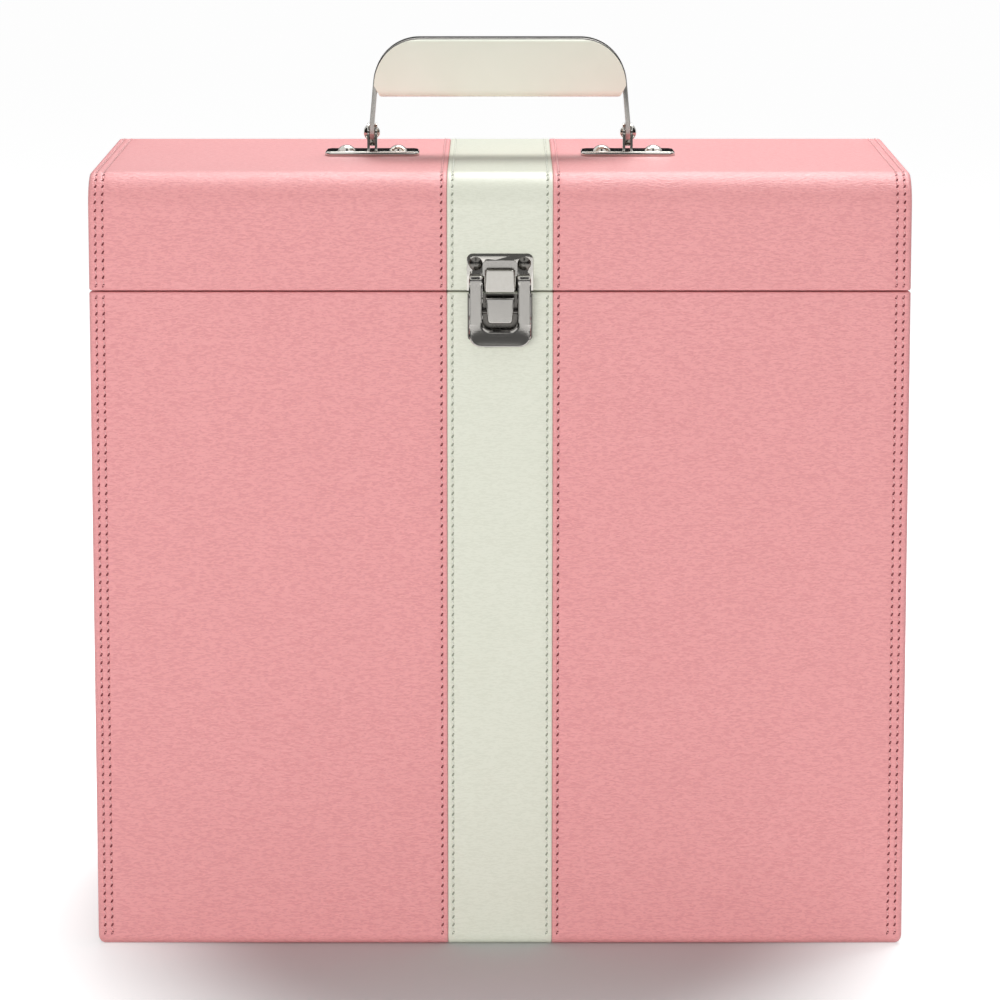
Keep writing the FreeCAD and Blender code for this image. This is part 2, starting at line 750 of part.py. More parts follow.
def make_latch_frame():
    half = frame_width / 2
    top_z = body_height + shoulder_top
    bottom_z = body_height - frame_bottom
    flare_z = body_height - frame_flare_start
    drop = flare_z - bottom_z
    flare_reach = (drop ** 2 + frame_flare ** 2) / (2 * drop)
    face_y = out(latch_face)
    back_y = out(latch_face - latch_sheet)
    rear_y = out(crossbar_back)
    top_back = top_z - latch_sheet
    bent_sheet = [
        (face_y - frame_flare, bottom_z, 0),
        (face_y, flare_z - flare_reach, flare_reach * drop / frame_flare),
        (face_y, top_z, shoulder_bend_radius),
        (rear_y, top_z, 0),
    ]
    sheet = prism_along_x(ribbon(bent_sheet, latch_sheet), -half, half)
    outline = [
        (-half, top_z, shoulder_corner_radius),
        (-half, bottom_z, frame_corner_radius),
    ]
    whole = prism_along_y(mirrored(outline), out(0), out(latch_face + overrun))
    slot_top = top_z + overrun
    slot = prism_along_y(slot_outline(0, slot_top), out(0), out(latch_face + overrun))
    frame = sheet.common(whole)
    flange = prism_along_y(slot_outline(latch_sheet, top_back), out(frame_flange_back), back_y)
    frame = frame.fuse(flange)
    wall_low = V(-half, back_y, body_height - frame_wall_bottom)
    walls = whole.common(box(wall_low, V(half, out(frame_wall_back), top_back)))
    between_low = V(-half + latch_sheet, back_y - overrun, bottom_z)
    walls = walls.cut(box(between_low, V(half - latch_sheet, out(0), slot_top)))
    frame = frame.fuse(walls).cut(slot)
    hook_z = body_height + latch_hook_height
    leg_inner = nose_width / 2 + arch_leg_gap
    arch_half = frame_slot_width / 2
    arch = [
        (-half + shoulder_corner_radius, top_back, 0),
        (-half + shoulder_corner_radius, top_z, 0),
        (-arch_half - latch_sheet, top_z, 0),
        (-arch_half, hook_z - latch_sheet, 0),
        (-arch_half, body_height + arch_top, arch_corner_radius),
    ]
    crossbar = prism_along_y(mirrored(arch), rear_y, out(crossbar_back + latch_sheet))
    gap = box(V(-leg_inner, out(latch_face), body_height), V(leg_inner, out(0), hook_z))
    frame = frame.fuse(crossbar.cut(gap))
    hole_start = V(-half + latch_sheet, out(link_out), body_height - link_drop)
    hole_end = V(half - latch_sheet, out(link_out), body_height - link_drop)
    pin_hole = rod(latch_pin_radius + pin_fit, hole_start, hole_end)
    nodes["latch_frame"] = frame.cut(pin_hole).removeSplitter()


make_body_box()
make_lid_box()
make_hinges()
make_feet()
make_handle()
make_strike()
make_latch_base()
make_latch_tab()
make_latch_frame()
for name, shape in nodes.items():
    shape.exportStep("parts/" + name + ".step")
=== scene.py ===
import math

import bmesh
import bpy
import numpy as np
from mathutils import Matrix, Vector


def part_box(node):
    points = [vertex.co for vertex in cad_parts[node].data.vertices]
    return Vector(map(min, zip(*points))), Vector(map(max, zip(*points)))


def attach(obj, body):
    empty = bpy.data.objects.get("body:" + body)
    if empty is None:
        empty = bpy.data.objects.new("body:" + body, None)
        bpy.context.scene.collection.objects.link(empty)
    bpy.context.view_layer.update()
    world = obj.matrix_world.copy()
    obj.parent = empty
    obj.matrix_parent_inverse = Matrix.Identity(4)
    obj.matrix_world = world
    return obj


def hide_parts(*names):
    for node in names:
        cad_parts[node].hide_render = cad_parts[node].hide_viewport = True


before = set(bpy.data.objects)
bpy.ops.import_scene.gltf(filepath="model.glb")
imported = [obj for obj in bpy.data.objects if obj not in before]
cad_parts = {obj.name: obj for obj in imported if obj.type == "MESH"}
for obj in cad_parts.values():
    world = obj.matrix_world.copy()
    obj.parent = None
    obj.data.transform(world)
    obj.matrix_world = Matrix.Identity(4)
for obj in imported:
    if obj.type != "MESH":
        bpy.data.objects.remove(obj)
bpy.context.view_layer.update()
print("frame loaded with", len(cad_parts), "nodes")

# Record carrying case: leatherette over boards, a pale middle strip, a hinged lid, a draw latch in front
# and a strap handle on top. The front faces -Y, the floor is z = 0, and mm turns millimetres into metres.
mm = 0.001
mergeReach = 0.002 * mm

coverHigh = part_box("body_cover_right")[1]
lidLow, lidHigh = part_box("lid_cover_right")
case = {
    "halfWidth": coverHigh.x,
    "halfDepth": coverHigh.y,
    "halfStrip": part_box("body_strip")[1].x,
    "bodyRim": coverHigh.z,
    "lidRim": lidLow.z,
    "top": lidHigh.z,
    "topRadius": 14 * mm,
    "bottomRadius": 4 * mm,
    "sideRadius": 2 * mm,
    "rimRadius": 0.8 * mm,
    "wall": 9 * mm,
}


def toLinear(hexColour):
    # sRGB hex to the linear colour that the shaders take
    parts = [int(hexColour[start:start + 2], 16) / 255 for start in (0, 2, 4)]
    return [part / 12.92 if part <= 0.04045 else ((part + 0.055) / 1.055) ** 2.4 for part in parts] + [1]


def addNode(tree, kind, settings, links):
    node = tree.nodes.new(kind)
    for name, value in settings.items():
        if isinstance(name, int) or name in node.inputs:
            node.inputs[name].default_value = value
        else:
            setattr(node, name, value)
    for name, output in links.items():
        tree.links.new(output, node.inputs[name])
    return node


def startMaterial(name):
    material = bpy.data.materials.new(name)
    material.use_nodes = True
    tree = material.node_tree
    tree.nodes.clear()
    place = addNode(tree, "ShaderNodeTexCoord", {}, {})
    return material, tree, place.outputs["Object"]


def endMaterial(material, tree, settings, links):
    shader = addNode(tree, "ShaderNodeBsdfPrincipled", settings, links)
    addNode(tree, "ShaderNodeOutputMaterial", {}, {"Surface": shader.outputs["BSDF"]})
    return material


# Leatherette: soft PVC on cloth, its grain embossed by a roller. The eye sees fine shallow wrinkles that run
# mostly across and a soft gloss on their backs; the darker colour between them is painted shade in the
# creases.
leatherGrain = {
    "across": 2.1 * mm,
    "upright": 0.52 * mm,
    "cloud": 30 * mm,
}


def makeLeatherette(name, colour, creaseShadeColour, cloudColour, depth):
    material, tree, place = startMaterial(name)
    across, upright = 1 / leatherGrain["across"], 1 / leatherGrain["upright"]
    lying = addNode(tree, "ShaderNodeMapping", {"Scale": (across, upright, upright)}, {"Vector": place})
    wrinkles = addNode(
        tree, "ShaderNodeTexNoise", {"Scale": 1.0, "Detail": 1.0, "Roughness": 0.5, "Distortion": 0.6},
        {"Vector": lying.outputs[0]},
    )
    bump = addNode(
        tree, "ShaderNodeBump", {"Strength": 0.8, "Distance": depth}, {"Height": wrinkles.outputs["Fac"]}
    )
    cloud = addNode(
        tree, "ShaderNodeTexNoise", {"Scale": 1 / leatherGrain["cloud"], "Detail": 1.0}, {"Vector": place}
    )
    base = addNode(
        tree, "ShaderNodeMix", {"data_type": "RGBA", 6: toLinear(colour), 7: toLinear(cloudColour)},
        {0: cloud.outputs["Fac"]},
    )
    # Painted shade: where the wrinkles lie low, the colour darkens towards the crease colour
    creaseShade = addNode(
        tree, "ShaderNodeMapRange", {"From Min": 0.38, "From Max": 0.56, "To Min": 0.5, "To Max": 0.0},
        {"Value": wrinkles.outputs["Fac"]},
    )
    shade = addNode(
        tree, "ShaderNodeMix", {"data_type": "RGBA", 7: toLinear(creaseShadeColour)},
        {0: creaseShade.outputs[0], 6: base.outputs[2]},
    )
    gloss = addNode(
        tree, "ShaderNodeMapRange", {"From Min": 0.3, "From Max": 0.7, "To Min": 0.42, "To Max": 0.33},
        {"Value": wrinkles.outputs["Fac"]},
    )
    return endMaterial(
        material, tree, {"IOR": 1.5},
        {"Base Color": shade.outputs[2], "Roughness": gloss.outputs[0], "Normal": bump.outputs["Normal"]},
    )


# Nickel plate on stamped steel. Bright parts are tumbled and mirror with a little waviness. Satin parts are
# brushed up and down first, so their reflections blur and fine upright lines show. Dull parts are plated in
# a barrel and left so, with a soft highlight. Their darker colour is partly the pins' own darker steel, and
# partly painted shade for the shadowed inside of the latch and a painted dark reflection on the rivets.
def makeNickel(name, colour, darkColour, rough, grain, depth):
    material, tree, place = startMaterial(name)
    across, upright = 1 / grain[0], 1 / grain[1]
    lying = addNode(tree, "ShaderNodeMapping", {"Scale": (across, across, upright)}, {"Vector": place})
    lines = addNode(
        tree, "ShaderNodeTexNoise", {"Scale": 1.0, "Detail": 2.0, "Roughness": 0.6},
        {"Vector": lying.outputs[0]},
    )
    finish = addNode(
        tree, "ShaderNodeMapRange",
        {"From Min": 0.3, "From Max": 0.7, "To Min": rough * 0.8, "To Max": rough * 1.25},
        {"Value": lines.outputs["Fac"]},
    )
    base = addNode(
        tree, "ShaderNodeMix", {"data_type": "RGBA", 6: toLinear(colour), 7: toLinear(darkColour)},
        {0: lines.outputs["Fac"]},
    )
    dents = addNode(
        tree, "ShaderNodeBump", {"Strength": 0.4, "Distance": depth}, {"Height": lines.outputs["Fac"]}
    )
    return endMaterial(
        material, tree, {"Metallic": 1.0},
        {"Base Color": base.outputs[2], "Roughness": finish.outputs[0], "Normal": dents.outputs["Normal"]},
    )


# Grip: vinyl moulded round the strap, with the mould's fine spark finish that dulls the highlight.
def makeGripVinyl():
    material, tree, place = startMaterial("moulded cream vinyl")
    spark = addNode(tree, "ShaderNodeTexNoise", {"Scale": 1 / (0.5 * mm), "Detail": 3.0}, {"Vector": place})
    bump = addNode(
        tree, "ShaderNodeBump", {"Strength": 0.18, "Distance": 0.05 * mm}, {"Height": spark.outputs["Fac"]}
    )
    cloud = addNode(tree, "ShaderNodeTexNoise", {"Scale": 1 / (18 * mm), "Detail": 2.0}, {"Vector": place})
    base = addNode(
        tree, "ShaderNodeMix", {"data_type": "RGBA", 6: toLinear("E9EADC"), 7: toLinear("E2E4D4")},
        {0: cloud.outputs["Fac"]},
    )
    return endMaterial(
        material, tree, {"IOR": 1.5, "Roughness": 0.38},
        {"Base Color": base.outputs[2], "Normal": bump.outputs["Normal"]},
    )


# Thread: bonded polyester, three strands twisted. The twist shows as fine slanted ribs on each stitch, with
# painted shade in the grooves between the strands.
def makeThread(name, colour, grooveShadeColour):
    material, tree, place = startMaterial(name)
    twist = addNode(
        tree, "ShaderNodeTexWave",
        {"wave_type": "BANDS", "bands_direction": "DIAGONAL", "Scale": 1 / (2.2 * mm), "Distortion": 1.0},
        {"Vector": place},
    )
    # Painted shade: the low bands of the twist take the darker colour
    base = addNode(
        tree, "ShaderNodeMix", {"data_type": "RGBA", 6: toLinear(grooveShadeColour), 7: toLinear(colour)},
        {0: twist.outputs["Fac"]},
    )
    bump = addNode(
        tree, "ShaderNodeBump", {"Strength": 0.5, "Distance": 0.06 * mm}, {"Height": twist.outputs["Fac"]}
    )
    return endMaterial(
        material, tree, {"IOR": 1.5, "Roughness": 0.5, "Sheen Weight": 0.2},
        {"Base Color": base.outputs[2], "Normal": bump.outputs["Normal"]},
    )


# Paper and board: pressed fibre. Flecks and a soft nap, no gloss.
def makeFibre(name, colour, fleckColour, fleck, depth, rough):
    material, tree, place = startMaterial(name)
    fibres = addNode(
        tree, "ShaderNodeTexNoise", {"Scale": 1 / fleck, "Detail": 6.0, "Roughness": 0.7}, {"Vector": place}
    )
    tone = addNode(
        tree, "ShaderNodeMapRange", {"From Min": 0.35, "From Max": 0.65}, {"Value": fibres.outputs["Fac"]}
    )
    base = addNode(
        tree, "ShaderNodeMix", {"data_type": "RGBA", 6: toLinear(fleckColour), 7: toLinear(colour)},
        {0: tone.outputs[0]},
    )
    bump = addNode(
        tree, "ShaderNodeBump", {"Strength": 0.5, "Distance": depth}, {"Height": fibres.outputs["Fac"]}
    )
    return endMaterial(
        material, tree, {"IOR": 1.45, "Roughness": rough},
        {"Base Color": base.outputs[2], "Normal": bump.outputs["Normal"]},
    )


# The second colour given to each leatherette is the painted shade in its creases
pinkLeather = makeLeatherette("embossed pink leatherette", "F3A8A9", "DB8E91", "F0A5A6", 0.38 * mm)
creamLeather = makeLeatherette("embossed cream leatherette", "E6E8D9", "D9DBCA", "E3E5D5", 0.08 * mm)
brightNickel = makeNickel("bright nickel plate", "D2CFC9", "C8C4BD", 0.1, (1.2 * mm, 1.2 * mm), 0.02 * mm)
satinNickel = makeNickel("satin nickel plate", "BDBAB5", "ADAAA5", 0.17, (0.3 * mm, 2.4 * mm), 0.01 * mm)
# Dull nickel: its dark colour is partly painted shade inside the latch and painted dark reflection on the
# rivets
dullShadedNickel = makeNickel("dull nickel plate darkened partly as painted shade", "7A7772", "6B6864", 0.24, (0.5 * mm, 0.5 * mm), 0.02 * mm)
gripVinyl = makeGripVinyl()
# Each thread's second colour is the painted shade in the grooves of its twist
pinkThread = makeThread("twisted pink polyester thread", "F9C3C3", "E39A9C")
creamThread = makeThread("twisted cream polyester thread", "F0F1E6", "D2D4C6")
# Needle holes: dark drops of painted shade laid over the leatherette, with a fibre texture
pinkHoleShade = makeFibre("painted shade in pink needle holes", "752830", "601D25", 0.4 * mm, 0.02 * mm, 0.8)
creamHoleShade = makeFibre("painted shade in cream needle holes", "9CA08F", "888D7C", 0.4 * mm, 0.02 * mm, 0.8)
boardFibre = makeFibre("pressed fibre board", "A98B66", "8C704E", 0.8 * mm, 0.1 * mm, 0.85)
liningPaper = makeFibre("flocked cream lining paper", "D9D2C0", "C4BCA8", 0.6 * mm, 0.12 * mm, 0.95)
print("materials made")


def finishPiece(mesh, name, material, body, replaced):
    piece = bpy.data.objects.new(name, mesh)
    bpy.context.scene.collection.objects.link(piece)
    mesh.materials.clear()
    mesh.materials.append(material)
    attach(piece, body)
    if replaced:
        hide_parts(*replaced)


def spread(start, end, step):
    return list(np.linspace(start, end, max(1, round(abs(end - start) / step)) + 1))


# Stitches: rows beside the strip's seams and doubled rows beside the side edges
stitching = {
    "pitch": 3.55 * mm,
    "fromSeam": 2.35 * mm,
    "fromEdge": (3.1 * mm, 6.2 * mm),
    "endShare": 0.4,
    "endSlack": 0.05,
    "groove": 0.28 * mm,
    "grooveWidth": 0.5 * mm,
    "grooveShare": 0.8,
    "dimpleShare": 0.45,
    "dimpleReach": 0.55 * mm,
    "threadRadius": 0.34 * mm,
    "threadLength": 2.4 * mm,
    "threadLean": math.tan(math.radians(-9)),
    "threadRings": (
        (-1, -0.9, 0.5), (-0.8, 0.0, 0.9), (-0.4, 0.4, 1), (0.4, 0.4, 1), (0.8, 0.0, 0.9), (1, -0.9, 0.5)
    ),
    "threadSides": 6,
    # The needle holes are dark drops of painted shade, lifted just above the leatherette
    "holeLength": 1.75 * mm,
    "holeWidth": 0.9 * mm,
    "holeLean": math.tan(math.radians(22)),
    "holeTaper": 0.3,
    "holeCorners": 8,
    "holeLift": 0.04 * mm,
}


def stitchPitch(length):
    # The margin at each end is a share of a stitch, and whole stitches fill the rest
    wanted = length / stitching["pitch"] - 2 * stitching["endShare"]
    return length / (round(wanted) + 2 * stitching["endShare"])


pinkRows = [case["halfStrip"] + stitching["fromSeam"]]
pinkRows += [case["halfWidth"] - reach for reach in stitching["fromEdge"]]
creamRows = [case["halfStrip"] - stitching["fromSeam"]]


def bodyPath(side):
    # A wall of the body, from its rounded foot up to its rounded rim
    length = case["bodyRim"] - case["rimRadius"] - case["bottomRadius"]

    def at(run):
        still = np.zeros_like(run)
        return side * case["halfDepth"] + still, case["bottomRadius"] + run, side + still, still

    return at, length


def lidPath():
    # Up the lid's front, over the top and down its back
    radius = case["topRadius"]
    foot = case["lidRim"] + case["rimRadius"]
    straight = case["top"] - radius - foot
    arc = radius * math.pi / 2
    length = 2 * (straight + arc + case["halfDepth"] - radius)

    def at(run):
        nearer = np.minimum(run, length - run)
        side = np.where(run < length / 2, -1.0, 1.0)
        angle = np.clip((nearer - straight) / radius, 0, math.pi / 2)
        inwards = np.clip(nearer - straight - arc, 0, None)
        reach = case["halfDepth"] - radius + radius * np.cos(angle) - inwards
        rise = foot + np.minimum(nearer, straight) + radius * np.sin(angle)
        return side * reach, rise, side * np.cos(angle), np.sin(angle)

    return at, length


# The panels' edges roll into the seams, and the front and back panels wrap a hem onto the sides
panel = {
    "rollRadius": 0.5 * mm,
    "rollDepth": 0.9 * mm,
    "hem": 4 * mm,
    "hemStep": 0.3 * mm,
    "pillow": 0.13 * mm,
    "coarseStep": 9 * mm,
    "nearRow": [offset * mm for offset in (-0.9, -0.5, -0.25, 0.0, 0.25, 0.5, 0.9)],
    "nearEdge": [reach * mm for reach in (0.4, 0.9, 1.4)],
    "closest": 0.12 * mm,
    "nearHem": 1 * mm,
    "seamGap": 0.03 * mm,
    "pillowPlace": 1.3 * mm,
    "pillowWidth": 0.6 * mm,
    "foldFirst": 2.2 * mm,
    "foldDown": 1 * mm,
    "sharpAngle": math.radians(50),
}


def seamRoll(edge, way):
    # Points across a panel's edge, from deep in the seam out to its face: (across, sink)
    radius = panel["rollRadius"]
    points = [(edge, panel["rollDepth"])]
    for angle in (0, 30, 60, 90):
        turn = math.radians(angle)
        points.append((edge + way * radius * (1 - math.cos(turn)), radius * (1 - math.sin(turn))))
    return points


def flatStations(start, end, rows):
    stations = set(spread(start, end, panel["coarseStep"]))
    stations.update(row + offset for row in rows for offset in panel["nearRow"])
    for edge, way in ((start, 1), (end, -1)):
        stations.update(edge + way * reach for reach in panel["nearEdge"])
    kept = []
    for station in sorted(stations):
        if start <= station <= end and (not kept or station - kept[-1] > panel["closest"]):
            kept.append(station)
    return kept


def pinkColumns():
    # Each column is (across, behind the face, outward across, outward to the face, sink)
    columns = [(across, 0, 0, 1, sink) for across, sink in seamRoll(case["halfStrip"] + panel["seamGap"], 1)]
    last = columns[-1][0]
    corner = case["halfWidth"] - case["sideRadius"]
    columns += [(across, 0, 0, 1, 0) for across in flatStations(last, corner, pinkRows)[1:]]
    for angle in (18, 36, 54, 72, 90):
        turn = math.radians(angle)
        across = corner + case["sideRadius"] * math.sin(turn)
        columns.append((across, case["sideRadius"] * (1 - math.cos(turn)), math.sin(turn), math.cos(turn), 0))
    for share, sink in ((0.75, 0), (0.875, 0.02), (0.95, 0.12), (1.0, 0.35), (1.005, 0.6)):
        columns.append((case["halfWidth"], share * panel["hem"], 1, 0, sink * mm))
    return columns


def creamColumns():
    left = [(across, 0, 0, 1, sink) for across, sink in seamRoll(-case["halfStrip"] + panel["seamGap"], 1)]
    right = [(-column[0], 0, 0, 1, column[4]) for column in reversed(left)]
    rows = [-creamRows[0], creamRows[0]]
    middle = [(across, 0, 0, 1, 0) for across in flatStations(left[-1][0], right[0][0], rows)[1:-1]]
    return left + middle + right


def sideColumns():
    # The side panel lies a step below the hem: its columns are places between front and back
    reach = case["halfDepth"] - panel["hem"]
    nearEnds = {panel["nearHem"] - reach, reach - panel["nearHem"]}
    return sorted(set(spread(-reach, reach, panel["coarseStep"])) | nearEnds)


def sunk(across, run, length, rows):
    # How far the leatherette sinks under the stitches and swells beside the seam
    depth = np.zeros(np.broadcast(across, run).shape)
    width = stitching["grooveWidth"]
    pitch = stitchPitch(length)
    toHole = run / pitch - stitching["endShare"]
    nearHole = np.exp(-(((toHole - np.round(toHole)) * pitch) / stitching["dimpleReach"]) ** 2)
    fade = np.clip(np.minimum(run, length - run) / (stitching["endShare"] * pitch), 0, 1)
    for row in rows:
        trough = np.exp(-((np.abs(across) - row) / width) ** 2)
        dimple = stitching["grooveShare"] + stitching["dimpleShare"] * nearHole
        depth = depth + trough * stitching["groove"] * fade * dimple
    fromSeam = np.abs(np.abs(across) - case["halfStrip"]) - panel["pillowPlace"]
    return depth - panel["pillow"] * np.exp(-(fromSeam / panel["pillowWidth"]) ** 2)


def bandGrid(columns, path, length, way, rows):
    # A panel that follows the path and keeps its columns' section all along it, four rows to a stitch
    columns = np.array(columns)
    run = np.linspace(0, length, round(4 * length / stitchPitch(length)) + 1)[:, None]
    y, z, outY, outZ = path(run)
    across, behind, outX, outFace, sink = columns.T
    onFace = np.where(behind > 0, 0.0, 1.0) * np.where(sink > 0, 0.0, 1.0)
    sink = sink + sunk(across, run, length, rows) * onFace
    inward = behind + outFace * sink
    x = way * (across - outX * sink)
    return np.stack(np.broadcast_arrays(x, y - outY * inward, z - outZ * inward), axis=-1)


def foldProfile(rim, outward):
    # Round the rim and over it: (inset, height, how far out the surface faces, how far up)
    radius = case["rimRadius"]
    steps = []
    for angle in (0, 30, 60, 90):
        turn = math.radians(angle)
        height = rim - outward * radius * (1 - math.sin(turn))
        steps.append((radius * (1 - math.cos(turn)), height, math.cos(turn), outward * math.sin(turn)))
    steps += [(inset, rim, 0, outward) for inset in (panel["foldFirst"], case["wall"] / 2, case["wall"])]
    steps.append((case["wall"], rim - outward * panel["foldDown"], 0, outward))
    return steps


def footProfile():
    radius = case["bottomRadius"]
    steps = []
    for angle in (0, 22.5, 45, 67.5, 90):
        turn = math.radians(angle)
        outPlan, down = math.cos(turn), math.sin(turn)
        steps.append((radius * (1 - outPlan), radius * (1 - down), outPlan, -down))
    return steps


def ringGrid(columns, profile, way, side):
    # A panel that follows the case's outline and takes its section from the profile
    radius = case["sideRadius"]
    rows = []
    for inset, height, outPlan, outUp in profile:
        row = []
        for across, behind, outX, outFace, sink in columns:
            move = inset + sink * outPlan
            x = across - outX * move
            y = case["halfDepth"] - behind - outFace * move
            if inset > radius:
                cornerX, cornerY = case["halfWidth"] - inset, case["halfDepth"] - inset
                onArc = 0 < outX < 1
                x = cornerX if onArc else min(x, cornerX)
                y = cornerY if onArc else min(y, cornerY)
            row.append((way * x, side * y, height - outUp * sink))
        rows.append(row)
    return np.array(rows)


def sideRing(profile, way):
    reach = panel["hemStep"]
    rows = []
    for inset, height, outPlan, outUp in profile:
        limit = case["halfDepth"] - inset
        x = way * (case["halfWidth"] - inset - reach * outPlan)
        rows.append([(x, min(max(y, -limit), limit), height - outUp * reach) for y in sideColumns()])
    return np.array(rows)


def sideGrid(low, high, way):
    # The side panel, which narrows under the rounded top edges on the lid
    bend = case["topRadius"] - panel["hem"]
    arcStart = case["top"] - case["topRadius"]
    reach = case["halfDepth"] - panel["hem"]
    heights = spread(low, min(high, arcStart), panel["coarseStep"])
    if high > arcStart:
        heights += [arcStart + bend * math.sin(math.radians(angle)) for angle in range(10, 100, 10)]
    rows = []
    for height in heights:
        rise = max(0, height - arcStart)
        half = reach - bend + math.sqrt(max(0, bend ** 2 - rise ** 2)) if rise > 0 else reach
        x = way * (case["halfWidth"] - panel["hemStep"])
        rows.append([(x, y / reach * half, height) for y in sideColumns()])
    return np.array(rows)


def gridMesh(name, grids, centre):
    # Joins grids of points to one mesh whose faces look away from the centre
    mesh = bpy.data.meshes.new(name)
    points, faces = [], []
    for grid in grids:
        rows, columns, size = grid.shape
        start = sum(len(block) for block in points)
        points.append(grid.reshape(-1, size))
        middle = grid[rows // 2, columns // 2]
        alongRow = middle - grid[rows // 2, columns // 2 - 1]
        alongColumn = middle - grid[rows // 2 - 1, columns // 2]
        outward = np.dot(np.cross(alongRow, alongColumn), middle - centre) > 0
        index = start + np.arange(rows * columns).reshape(rows, columns)
        corners = [index[:-1, :-1], index[:-1, 1:], index[1:, 1:], index[1:, :-1]]
        if not outward:
            corners.reverse()
        faces.append(np.stack(corners, axis=-1).reshape(-1, 4))
    mesh.from_pydata(np.concatenate(points).tolist(), [], np.concatenate(faces).tolist())
    shape = bmesh.new()
    shape.from_mesh(mesh)
    bmesh.ops.remove_doubles(shape, verts=shape.verts, dist=mergeReach)
    shape.to_mesh(mesh)
    shape.free()
    mesh.shade_smooth()
    mesh.set_sharp_from_angle(angle=panel["sharpAngle"])
    return mesh


bodyRise = (case["bottomRadius"], case["bodyRim"] - case["rimRadius"])
lidRise = (case["lidRim"] + case["rimRadius"], case["top"] - panel["hem"])
bodyCentre = np.array([0, 0, case["bodyRim"] / 2])
lidCentre = np.array([0, 0, (case["lidRim"] + case["top"]) / 2])
bodyFold = foldProfile(case["bodyRim"], 1)
lidFold = foldProfile(case["lidRim"], -1)

for word, way in (("left", -1), ("right", 1)):
    grids = []
    for side in (-1, 1):
        path, length = bodyPath(side)
        grids.append(bandGrid(pinkColumns(), path, length, way, pinkRows))
        grids += [ringGrid(pinkColumns(), profile, way, side) for profile in (bodyFold, footProfile())]
    grids += [sideRing(profile, way) for profile in (bodyFold, footProfile())] + [sideGrid(*bodyRise, way)]
    mesh = gridMesh("body_leather_" + word, grids, bodyCentre)
    finishPiece(mesh, mesh.name, pinkLeather, "case_body", ["body_cover_" + word])
    path, length = lidPath()
    grids = [bandGrid(pinkColumns(), path, length, way, pinkRows)]
    grids += [ringGrid(pinkColumns(), lidFold, way, side) for side in (-1, 1)]
    grids += [sideRing(lidFold, way), sideGrid(*lidRise, way)]
    mesh = gridMesh("lid_leather_" + word, grids, lidCentre)
    finishPiece(mesh, mesh.name, pinkLeather, "lid", ["lid_cover_" + word])

grids = []
for side in (-1, 1):
    path, length = bodyPath(side)
    grids.append(bandGrid(creamColumns(), path, length, 1, creamRows))
    grids += [ringGrid(creamColumns(), profile, 1, side) for profile in (bodyFold, footProfile())]
mesh = gridMesh("body_leather_strip", grids, bodyCentre)
finishPiece(mesh, "body_leather_strip", creamLeather, "case_body", ["body_strip"])
path, length = lidPath()
grids = [bandGrid(creamColumns(), path, length, 1, creamRows)]
grids += [ringGrid(creamColumns(), lidFold, 1, side) for side in (-1, 1)]
mesh = gridMesh("lid_leather_strip", grids, lidCentre)
finishPiece(mesh, "lid_leather_strip", creamLeather, "lid", ["lid_strip"])
print("leatherette panels made")


def onPanel(path, length, across, run, rows, lift):
    # A point this far above the leatherette, which dips under the stitches
    y, z, outY, outZ = (float(value) for value in path(np.array(run)))
    rise = lift - float(sunk(np.array(across), np.array(run), length, rows))
    return np.array([across, y + outY * rise, z + outZ * rise]), np.array([0, outY, outZ])


def needleHoleShade(path, length, row, run, rows):
    # A drop of painted shade for a needle hole, leaning right at its top: points round its rim, then its
    # middle
    points = []
    corners = stitching["holeCorners"]
    for corner in range(corners):
        turn = corner * 2 * math.pi / corners
        up = math.cos(turn) * stitching["holeLength"] / 2
        taper = 1 - stitching["holeTaper"] * math.cos(turn)
        aside = math.sin(turn) * stitching["holeWidth"] / 2 * taper
        across = row + aside + up * stitching["holeLean"]
        points.append(onPanel(path, length, across, run + up, rows, stitching["holeLift"])[0])
    points.append(onPanel(path, length, row, run, rows, stitching["holeLift"])[0])
    return points, [(corners, corner, (corner + 1) % corners) for corner in range(corners)]


def threadStitch(path, length, row, run, rows):
    # Its ends dive into the holes and its middle lies in the groove, leaning to the left at its top
    radius, sides, rings = stitching["threadRadius"], stitching["threadSides"], stitching["threadRings"]
    points = []
    for share, lift, girth in rings:
        along = share * stitching["threadLength"] / 2
        across = row + along * stitching["threadLean"]
        spot, outward = onPanel(path, length, across, run + along, rows, lift * radius)
        for corner in range(sides):
            turn = corner * 2 * math.pi / sides
            beside = np.array([math.cos(turn), 0, 0])
            points.append(spot + (beside + outward * math.sin(turn)) * radius * girth)
    last = (len(rings) - 1) * sides
    faces = [tuple(range(sides)), tuple(range(last, last + sides))]
    for low in range(0, last, sides):
        for corner in range(sides):
            following = (corner + 1) % sides
            faces.append((low + corner, low + following, low + sides + following, low + sides + corner))
    return points, faces


def stitchMesh(name, shape, start, paths, rows):
    # One stitch's shape at every place along every row, all in one mesh
    points, faces = [], []
    for path, length in paths:
        pitch = stitchPitch(length)
        first = stitching["endShare"] + start
        stitches = np.arange(first, length / pitch - first + stitching["endSlack"], 1.0) * pitch
        for row in rows:
            for run in stitches:
                newPoints, newFaces = shape(path, length, row, run, rows)
                faces += [tuple(len(points) + corner for corner in face) for face in newFaces]
                points += newPoints
    mesh = bpy.data.meshes.new(name)
    mesh.from_pydata([list(point) for point in points], [], faces)
    shell = bmesh.new()
    shell.from_mesh(mesh)
    bmesh.ops.recalc_face_normals(shell, faces=shell.faces)
    shell.to_mesh(mesh)
    shell.free()
    mesh.shade_smooth()
    return mesh


